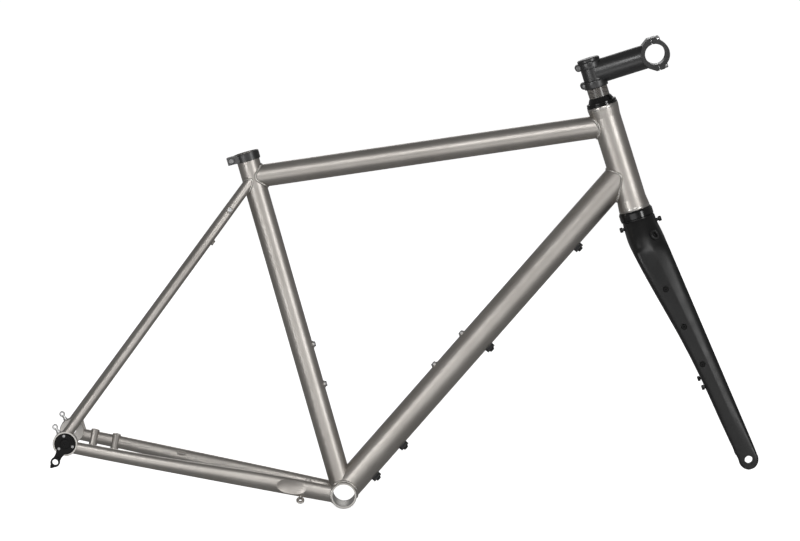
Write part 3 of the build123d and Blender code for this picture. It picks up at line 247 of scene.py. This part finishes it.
def finish_piece(piece, body, slot, smooth_angle):
    """Consistent normals, smooth shading up to an angle, a material and a body."""
    shape = bmesh.new()
    shape.from_mesh(piece.data)
    bmesh.ops.recalc_face_normals(shape, faces=shape.faces)
    shape.to_mesh(piece.data)
    shape.free()
    for polygon in piece.data.polygons:
        polygon.use_smooth = True
    piece.data.set_sharp_from_angle(angle=radians(smooth_angle))
    piece.data.materials.clear()
    piece.data.materials.append(looks[slot])
    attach(piece, body)


def apply_modifiers(piece):
    """Puts the shape that the modifiers make into the piece's mesh."""
    bpy.context.view_layer.update()
    graph = bpy.context.evaluated_depsgraph_get()
    mesh = bpy.data.meshes.new_from_object(piece.evaluated_get(graph))
    piece.modifiers.clear()
    piece.data = mesh


on_axis = 0.001             # a radius so small that the end of a turned shape is closed


def lathe(centre, axis, profile, steps=64):
    """Points and faces of a profile of (radius, height) pairs turned round an axis."""
    side = axis.orthogonal().normalized()
    other = axis.cross(side)
    points = []
    faces = []
    for radius, height in profile:
        for step in range(steps):
            angle = 2 * pi * step / steps
            points.append(centre + axis * height * MM
                          + (side * cos(angle) + other * sin(angle)) * radius * MM)
    for row in range(len(profile) - 1):
        for step in range(steps):
            after = (step + 1) % steps
            faces.append((row * steps + step, row * steps + after,
                          (row + 1) * steps + after, (row + 1) * steps + step))
    return points, faces


def plug(radius, low, high):
    """The profile of a solid cylinder between two heights."""
    return [(on_axis, low), (radius, low), (radius, high), (on_axis, high)]


def joined(shapes):
    """The points and faces of several shapes as one."""
    points = []
    faces = []
    for some_points, some_faces in shapes:
        faces.extend(tuple(len(points) + corner for corner in face) for face in some_faces)
        points.extend(some_points)
    return points, faces


# ---------------------------------------------------------------- fork
# The crown and both blades are one moulded shell. It is built from rings down the
# steering axis. A crown ring runs round one half of the crown, and a blade ring runs
# all round the blade. The arch between the blades closes the shell underneath.
def fork_point(depth, forward, lateral):
    """A point of the fork: mm down from the crown's top, ahead of its axis and to the left."""
    return crown_top + (steer_forward * forward - steer_up * depth + LEFT * lateral) * MM


def between(rows, depth):
    """The row of numbers at a depth, between the rows above and below it."""
    for upper, lower in zip(rows, rows[1:]):
        if depth <= lower[0]:
            share = (depth - upper[0]) / (lower[0] - upper[0])
            return [a + share * (b - a) for a, b in zip(upper[1:], lower[1:])]
    return list(rows[-1][1:])


# depth, leading edge, trailing edge, outer side
fork_outside = [
    (0, 27.0, -24.6, 26.0),
    (8, 27.0, -25.0, 31.5),
    (17, 28.0, -25.2, 37.0),
    (26, 29.7, -25.4, 42.0),
    (38, 31.2, -24.6, 46.8),
    (50, 32.6, -22.8, 50.2),
    (75, 35.1, -18.2, 54.0),
    (105, 38.1, -12.0, 56.2),
    (145, 42.1, -3.2, 57.8),
    (185, 46.1, 5.6, 58.6),
    (225, 50.1, 13.0, 59.7),
    (265, 54.1, 19.2, 60.6),
    (305, 58.1, 24.6, 61.4),
    (345, 62.1, 29.3, 61.9),
    (375, 65.0, 33.4, 62.1),
    (392, 66.6, 35.4, 62.2),
    (399.2, 67.0, 36.0, 62.2),
]
# depth, inner side of the blade
fork_inside = [
    (43.6, 14.0),
    (50, 21.9),
    (60, 27.6),
    (75, 29.2),
    (105, 30.5),
    (185, 34.5),
    (265, 39.0),
    (345, 44.5),
    (392, 49.8),
    (399.2, 50.0),
]
arch_depth = 40.0           # where the crown's underside is, between the blades
blade_depths = [43.6, 50, 60, 75, 90, 105, 125, 145, 165, 185, 205, 225, 245, 265, 285, 305,
                325, 345, 360, 375, 387]
end_depth = 399.2           # the axle's place down the fork, and ahead of the fork's axis
end_forward = 51.5
end_radius = 15.6
end_inner = 50.0
end_outer = 62.2
left_end_drop = 11.8        # the left end stops flat this far below the axle
outer_count = 14        # points of a ring from the inner front corner, round the outside
inner_count = 4         # points of a ring between the two inner corners
ring_count = outer_count + inner_count

# half of the crown's section, from the middle of its front round to the middle of its back
crown_section = [
    (1.00, 0.0), (1.00, 0.24), (0.99, 0.46), (0.94, 0.66), (0.76, 0.82), (0.44, 0.93),
    (0.12, 1.00), (-0.22, 1.00), (-0.55, 0.97), (-0.82, 0.84), (-0.96, 0.62), (-1.0, 0.40),
    (-1.00, 0.2), (-1.00, 0.0),
]
crown_depths = [0, 1.2, 8, 17, 26, 34]
crown_edge = 0.5            # how far the top ring is drawn in, for a rounded edge


def crown_ring(depth, shrink=0.0):
    """Half a ring: round under the headset, and shaped like the blades at the arch."""
    leading, trailing, outer = between(fork_outside, depth)
    middle = (leading + trailing) / 2
    half = (leading - trailing) / 2 - shrink
    share = min(depth / crown_depths[-1], 1)
    for step, (forward, outward) in enumerate(crown_section):
        angle = pi * step / (outer_count - 1)
        forward = cos(angle) + (forward - cos(angle)) * share
        outward = sin(angle) + (outward - sin(angle)) * share
        yield fork_point(depth, middle + half * forward, -(outer - shrink) * outward)


# The blade's section round from its inner front corner, as forward and outward shares:
# a facet in front, a ridge, a flat side behind it, and a rounded trailing edge.
blade_section = [
    (0.86, -0.62), (0.97, -0.30), (1.00, 0.05), (0.93, 0.38), (0.72, 0.66), (0.42, 0.86),
    (0.12, 1.00), (-0.22, 1.00), (-0.55, 0.99), (-0.82, 0.88), (-0.95, 0.55), (-1.00, 0.10),
    (-0.97, -0.35), (-0.84, -0.70), (-0.52, -0.97), (-0.15, -1.0), (0.20, -1.0), (0.56, -0.94),
]
ridge = 6                   # the ridge's place in the section


def blade_ring(depth, leading, trailing, inner, outer, squareness):
    """A ring round a blade: its section, with its corners pushed out by the squareness."""
    middle = (leading + trailing) / 2
    half = (leading - trailing) / 2
    centre = (inner + outer) / 2
    width = (outer - inner) / 2
    for forward, outward in blade_section:
        size = max(abs(forward), abs(outward))
        forward += (forward / size - forward) * squareness
        outward += (outward / size - outward) * squareness
        yield fork_point(depth, middle + half * forward, -(centre + width * outward))


squaring_start = 300        # the blades turn from oval to square below this depth
squaring_length = 90
most_squareness = 0.5
end_squareness = 0.7

points = []
faces = []
for depth in crown_depths:
    points.extend(crown_ring(depth, crown_edge if depth == 0 else 0.0))
arch_start = len(points)
points.extend(crown_ring(arch_depth))
arch_front = points[arch_start]
arch_rear = points[arch_start + outer_count - 1]
for step in range(inner_count):
    share = (step + 1) / (inner_count + 1)
    points.append(arch_rear + (arch_front - arch_rear) * share)
blade_start = len(points)
for depth in blade_depths:
    leading, trailing, outer = between(fork_outside, depth)
    inner = between(fork_inside, depth)[0]
    squareness = most_squareness * max(0, (depth - squaring_start) / squaring_length)
    points.extend(blade_ring(depth, leading, trailing, inner, outer, squareness))
# the blade ends in a round eye about the axle
eye_angles = (-18, 0, 18, 36, 52, 66, 78)
for turned in eye_angles:
    depth = end_depth + end_radius * sin(radians(turned))
    reach = end_radius * cos(radians(turned))
    points.extend(blade_ring(depth, end_forward + reach, end_forward - reach,
                             end_inner, end_outer, end_squareness))
ring_total = (len(points) - blade_start) // ring_count

for row in range(len(crown_depths)):
    for step in range(outer_count - 1):
        corner = row * outer_count + step
        faces.append((corner, corner + 1, corner + outer_count + 1, corner + outer_count))
for row in range(ring_total):
    above = arch_start + row * ring_count
    for step in range(ring_count):
        after = (step + 1) % ring_count
        faces.append((above + step, above + after, above + ring_count + after,
                      above + ring_count + step))
last = arch_start + ring_total * ring_count
faces.append(tuple(range(last, last + ring_count)))
# the crown's top face: a ring inside the rim, and the middle
top_centre = len(points)
middle = fork_point(0, 1.5, 0)
for step in range(outer_count):
    points.append(middle + (points[step] - middle) * 0.8)
points.append(middle)
for step in range(outer_count - 1):
    faces.append((step, step + 1, top_centre + step + 1, top_centre + step))
    faces.append((top_centre + step, top_centre + step + 1, top_centre + outer_count))

# the points on the mirror's plane lie exactly on it
for point in points:
    if abs(point.y) < 1e-6:
        point.y = 0

fork_shell = raw_piece("fork_shell", points, faces)
# the ridge is sharp from the crown down, and fades over its last rings above the axle
ridge_sharpness = 0.85
fading_rings = 8
shape = bmesh.new()
shape.from_mesh(fork_shell.data)
shape.verts.ensure_lookup_table()
crease = shape.edges.layers.float.new("crease_edge")
for row in range(1, len(blade_depths) + 1):
    upper = shape.verts[arch_start + row * ring_count + ridge]
    lower = shape.verts[arch_start + (row + 1) * ring_count + ridge]
    edge = shape.edges.get((upper, lower))
    if edge is not None:
        edge[crease] = ridge_sharpness * min(1, (len(blade_depths) + 1 - row) / fading_rings)
shape.to_mesh(fork_shell.data)
shape.free()
mirror = fork_shell.modifiers.new("mirror", "MIRROR")
mirror.use_axis = (False, True, False)
mirror.use_clip = True
mirror.merge_threshold = 0.00001
smoothing = fork_shell.modifiers.new("smoothing", "SUBSURF")
smoothing.levels = 2
smoothing.render_levels = 2

# the hose port is an oval, longer down the blade
port_facing = heading("fork_hose_port")
port_seat = place("fork_hose_port") + port_facing * 2 * MM
port_down = (-steer_up + port_facing * port_facing.dot(steer_up)).normalized()
port_length = 1.35


def lengthened(points, centre, along, times):
    """The points stretched away from a centre in one direction."""
    return [point + along * (point - centre).dot(along) * (times - 1) for point in points]


pack_bolts = [(110.6, 7.9), (173.9, 17.6), (237.2, 27.3)]     # depth, forward


def bolt_seats():
    """The places of the three bolts outside each blade: the seat and the way out."""
    for depth, forward in pack_bolts:
        for outward in (-LEFT, LEFT):
            outer = between(fork_outside, depth)[2]
            yield fork_point(depth, forward, 0) + outward * outer * MM, outward


# the axle's hole runs through both blade ends, with a shallow seat round it outside
axle_hole_radius = 6.1
axle_seat_radius = 9.0
axle_seat_side = 61.0
past_fork = 80              # sideways, clear of both blades
port_hole_radius = 4.6
bolt_seat_radius = 4.7

cuts = [lathe(front_axle, LEFT, [
    (on_axis, -past_fork), (axle_seat_radius, -past_fork), (axle_seat_radius, -axle_seat_side),
    (axle_hole_radius, -axle_seat_side), (axle_hole_radius, axle_seat_side),
    (axle_seat_radius, axle_seat_side), (axle_seat_radius, past_fork), (on_axis, past_fork)])]
port_points, port_faces = lathe(port_seat, port_facing, plug(port_hole_radius, -6, 9))
cuts.append((lengthened(port_points, port_seat, port_down, port_length), port_faces))
for seat, outward in bolt_seats():
    cuts.append(lathe(seat, outward, plug(bolt_seat_radius, -3, 4), 32))
cutter = raw_piece("fork_cutter", *joined(cuts))
boring = fork_shell.modifiers.new("boring", "BOOLEAN")
boring.object = cutter
boring.operation = "DIFFERENCE"
boring.solver = "EXACT"
apply_modifiers(fork_shell)
bpy.data.objects.remove(cutter)
# the left end stops flat below the axle
left_end = end_depth + left_end_drop
for vertex in fork_shell.data.vertices:
    depth = (crown_top - vertex.co).dot(steer_up) / MM
    if vertex.co.y > 0 and depth > left_end:
        vertex.co += steer_up * (depth - left_end) * MM
finish_piece(fork_shell, "fork", "carbon_satin", 40)
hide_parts("fork_crown", "fork_blade_right", "fork_blade_left")

# a blind grommet fills the port, with its lip outside
port_points, port_faces = lathe(port_seat, port_facing, [
    (on_axis, -4.6), (3.5, -4.6), (3.7, 0.9), (4.2, 1.5), (4.9, 1.5), (5.6, 0.9), (6.2, -0.4),
    (5.9, -3.0), (4.2, -5.0), (on_axis, -5.0)])
port_points = lengthened(port_points, port_seat, port_down, port_length)
grommet = new_piece("fork_port_grommet", port_points, port_faces, "fork", "black_plastic")
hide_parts("fork_port")

rim_profile = [(4.55, -2.0), (4.55, 0.3), (4.9, 0.65), (5.5, 0.65), (5.9, 0.2), (5.9, -2.0),
               (4.55, -2.0)]
rims = [lathe(seat, outward, rim_profile, 40) for seat, outward in bolt_seats()]
new_piece("fork_insert_rims", *joined(rims), "fork", "black_gloss")


# ---------------------------------------------------------------- stem bands and head tube lips
# two rounded bands clamp the steerer, with a waist between them
upper_headset_height = 13.9
spacer_height = 15.0
stem_bottom = head_top + steer_up * (upper_headset_height + spacer_height) * MM
clamp_radius = 17.8
band_rise = 0.9
for name, low, high in (("lower", 0.15, 12.4), ("upper", 30.8, 41.9)):
    band_points, band_faces = lathe(stem_bottom, steer_up, [
        (clamp_radius - 0.6, low), (clamp_radius, low + 0.05),
        (clamp_radius + band_rise * 0.7, low + 0.35), (clamp_radius + band_rise, low + 1.2),
        (clamp_radius + band_rise, high - 2.2), (clamp_radius + band_rise * 0.7, high - 0.9),
        (clamp_radius, high - 0.2), (clamp_radius - 0.6, high), (clamp_radius - 0.6, low)], 96)
    new_piece(f"stem_band_{name}", band_points, band_faces, "fork", "black_anodised", 50)

# the machined lip at each end of the head tube
tube_end = 24.0             # the radius of the head tube's ends
lip_profile = [(tube_end - 0.8, 0.03), (tube_end - 0.1, 0.05), (tube_end + 0.22, 0.5),
               (tube_end + 0.22, 4.6), (tube_end - 0.1, 5.1), (tube_end - 0.8, 5.1),
               (tube_end - 0.8, 0.03)]
head_bottom = head_top - steer_up * head_tube_length * MM
for name, face, inward in (("upper", head_top, -steer_up), ("lower", head_bottom, steer_up)):
    lip_points, lip_faces = lathe(face, inward, lip_profile, 96)
    new_piece(f"head_tube_lip_{name}", lip_points, lip_faces, "frame", "titanium_machined", 40)


# ---------------------------------------------------------------- welds
# A weld follows the edge where a tube meets a round tube: the line on the tube's own
# mesh that lies a little outside the other tube's wall.
halvings = 24               # steps of the search for a crossing point along an edge


def meeting_line(node, base, axis, radius):
    """The longest closed line of a node's mesh at a distance from an axis."""
    mesh = nodes[node].data
    where = nodes[node].matrix_world

    def off(point):
        arm = point - base
        return (arm - axis * arm.dot(axis)).length - radius

    shape = bmesh.new()
    shape.from_mesh(mesh)
    bmesh.ops.remove_doubles(shape, verts=shape.verts, dist=1e-6)
    bmesh.ops.triangulate(shape, faces=shape.faces)
    crossing = {}
    for edge in shape.edges:
        a, b = (where @ vertex.co for vertex in edge.verts)
        if off(a) * off(b) >= 0:
            continue
        low, high = (a, b) if off(a) < 0 else (b, a)
        for _ in range(halvings):
            middle = (low + high) / 2
            if off(middle) < 0:
                low = middle
            else:
                high = middle
        crossing[edge.index] = (low + high) / 2
    links = {}
    for face in shape.faces:
        crossed = [edge.index for edge in face.edges if edge.index in crossing]
        if len(crossed) == 2:
            for one, other in (crossed, crossed[::-1]):
                links.setdefault(one, []).append(other)
    shape.free()
    lines = []
    unused = set(links)
    while unused:
        start = unused.pop()
        line = [start]
        while True:
            onward = [edge for edge in links[line[-1]] if edge in unused]
            if not onward:
                break
            line.append(onward[0])
            unused.discard(onward[0])
        lines.append([crossing[edge] for edge in line])

    def length(line):
        return sum((a - b).length for a, b in zip(line, line[1:]))

    return max(lines, key=length)


def evenly(line, pitch):
    """Points along a closed line, all the same distance apart."""
    closed = line + [line[0]]
    total = sum((a - b).length for a, b in zip(closed, closed[1:]))
    count = max(12, round(total / pitch))
    wanted = [total * step / count for step in range(count)]
    found = []
    travelled = 0
    segment = 0
    for distance in wanted:
        while travelled + (closed[segment + 1] - closed[segment]).length < distance:
            travelled += (closed[segment + 1] - closed[segment]).length
            segment += 1
        step = closed[segment + 1] - closed[segment]
        share = (distance - travelled) / step.length if step.length else 0
        found.append(closed[segment] + step * share)
    return found


ripple_pitch = 1.5 * MM
ripple_rings = 5
ripple_rise = 0.16          # each ripple swells by this share of the bead's radius
ripple_dip = 0.05
ripple_lean = 0.35          # and leans along the bead by this share of its pitch
bead_points = 8
off_wall = 0.3 * MM         # the bead's line lies this far outside the other tube's wall


def weld(name, node, base, axis, radius, bead):
    """A rippled bead round the line where a node meets a round tube."""
    line = meeting_line(node, base, axis, radius + off_wall)
    path = evenly(line, ripple_pitch / ripple_rings)
    count = len(path)
    points = []
    faces = []
    for step, point in enumerate(path):
        along = (path[(step + 1) % count] - path[step - 1]).normalized()
        arm = point - base
        outward = (arm - axis * arm.dot(axis)).normalized()
        side = outward.cross(along).normalized()
        outward = along.cross(side)
        share = (step % ripple_rings) / ripple_rings
        swell = 1 + ripple_rise * (1 - share) ** 2 - ripple_dip
        for corner in range(bead_points):
            angle = 2 * pi * corner / bead_points
            points.append(point + (outward * cos(angle) + side * sin(angle)) * bead * swell
                          + along * ripple_pitch * ripple_lean * cos(angle))
    for step in range(count):
        after = (step + 1) % count
        for corner in range(bead_points):
            turn = (corner + 1) % bead_points
            faces.append((step * bead_points + corner, step * bead_points + turn,
                          after * bead_points + turn, after * bead_points + corner))
    new_piece(name, points, faces, "frame", "titanium_machined", 60)


head_radius = 22.6 * MM
seat_radius = 17.45 * MM
shell_radius = 20.25 * MM
thick_bead = 1.9 * MM
thin_bead = 1.5 * MM

weld("weld_top_tube_head", "top_tube", head_top, steer_up, head_radius, thick_bead)
weld("weld_down_tube_head", "down_tube", head_top, steer_up, head_radius, thick_bead)
weld("weld_top_tube_seat", "top_tube", ORIGIN, seat_up, seat_radius, thick_bead)
weld("weld_down_tube_shell", "down_tube", ORIGIN, LEFT, shell_radius, thick_bead)
weld("weld_seat_tube_shell", "seat_tube", ORIGIN, LEFT, shell_radius, thick_bead)
for side in ("right", "left"):
    weld(f"weld_chainstay_{side}_shell", f"chainstay_{side}", ORIGIN, LEFT, shell_radius,
         thin_bead)
    weld(f"weld_seatstay_{side}_top", f"seatstay_{side}", ORIGIN, seat_up, seat_radius,
         thin_bead)


# ---------------------------------------------------------------- studio
aim = Vector((0.0776, 0, 0.3472))
camera_distance = 7.225
camera_height_angle = radians(6.1)
camera_roll = radians(1.5)
lens = 211.5

toward_camera = Vector((0, -cos(camera_height_angle), sin(camera_height_angle)))
level_up = Vector((0, sin(camera_height_angle), cos(camera_height_angle)))
level_right = Vector((1, 0, 0))

camera_data = bpy.data.cameras.new("camera")
camera_data.lens = lens
camera_data.clip_end = 100
camera = new_object("camera", camera_data)
right = level_right * cos(camera_roll) + level_up * sin(camera_roll)
up = level_up * cos(camera_roll) - level_right * sin(camera_roll)
camera.matrix_world = Matrix((right, up, toward_camera)).transposed().to_4x4()
camera.location = aim + toward_camera * camera_distance
bpy.context.scene.camera = camera


def softbox(name, centre, width, height, power):
    """A white rectangular lamp that faces the object and is hidden from the camera."""
    light = bpy.data.lights.new(name, "AREA")
    light.shape = "RECTANGLE"
    light.size = width
    light.size_y = height
    light.energy = power
    lamp = new_object(name, light)
    lamp.location = centre
    lamp.rotation_mode = "QUATERNION"
    lamp.rotation_quaternion = (aim - Vector(centre)).to_track_quat("-Z", "Y")
    lamp.visible_camera = False


def around(azimuth, elevation, distance):
    """A point seen from the object's middle: azimuth from the camera, to the right."""
    turned = radians(azimuth)
    raised = radians(elevation)
    return aim + distance * Vector((sin(turned) * cos(raised), -cos(turned) * cos(raised),
                                    sin(raised)))


softbox("key", around(2, 29, 4.0), 1.3, 0.9, 30)
softbox("right", around(41, 10, 4.0), 0.8, 1.6, 35)
softbox("left", around(-38, 2, 3.6), 0.7, 1.4, 26)
softbox("bounce", (0.1, -1.5, 0.0), 2.6, 0.5, 5)
softbox("back", around(176, 24, 4.0), 2.6, 1.2, 22)

world = bpy.data.worlds.new("studio")
world.use_nodes = True
world.node_tree.nodes["Background"].inputs["Color"].default_value = (1, 1, 1, 1)
world.node_tree.nodes["Background"].inputs["Strength"].default_value = 0.2
bpy.context.scene.world = world
bpy.context.scene.view_settings.view_transform = "Standard"


def flat_white(name, glow):
    """A matt white that glows by itself, for the backdrop."""
    made, _, shader = material(name, (0.85, 0.85, 0.85), 0.0, 0.8)
    shader.inputs["Emission Color"].default_value = (1, 1, 1, 1)
    shader.inputs["Emission Strength"].default_value = glow
    return made


floor_gap = 0.0005          # the floor is just under the lowest point
floor_size = 80
dome_radius = 38

floor_level = cad_box[0][2] - floor_gap
bpy.ops.mesh.primitive_plane_add(size=floor_size, location=(0, 0, floor_level))
floor = bpy.context.object
floor.name = "floor"
floor.data.materials.append(flat_white("floor_white", 0.87))
floor.visible_glossy = False

bpy.ops.mesh.primitive_uv_sphere_add(segments=64, ring_count=32, radius=dome_radius,
                                     location=(0, 0, 0))
dome = bpy.context.object
dome.name = "dome"
dome.data.materials.append(flat_white("dome_white", 1.0))
dome.visible_glossy = False
dome.visible_diffuse = False
dome.visible_shadow = False
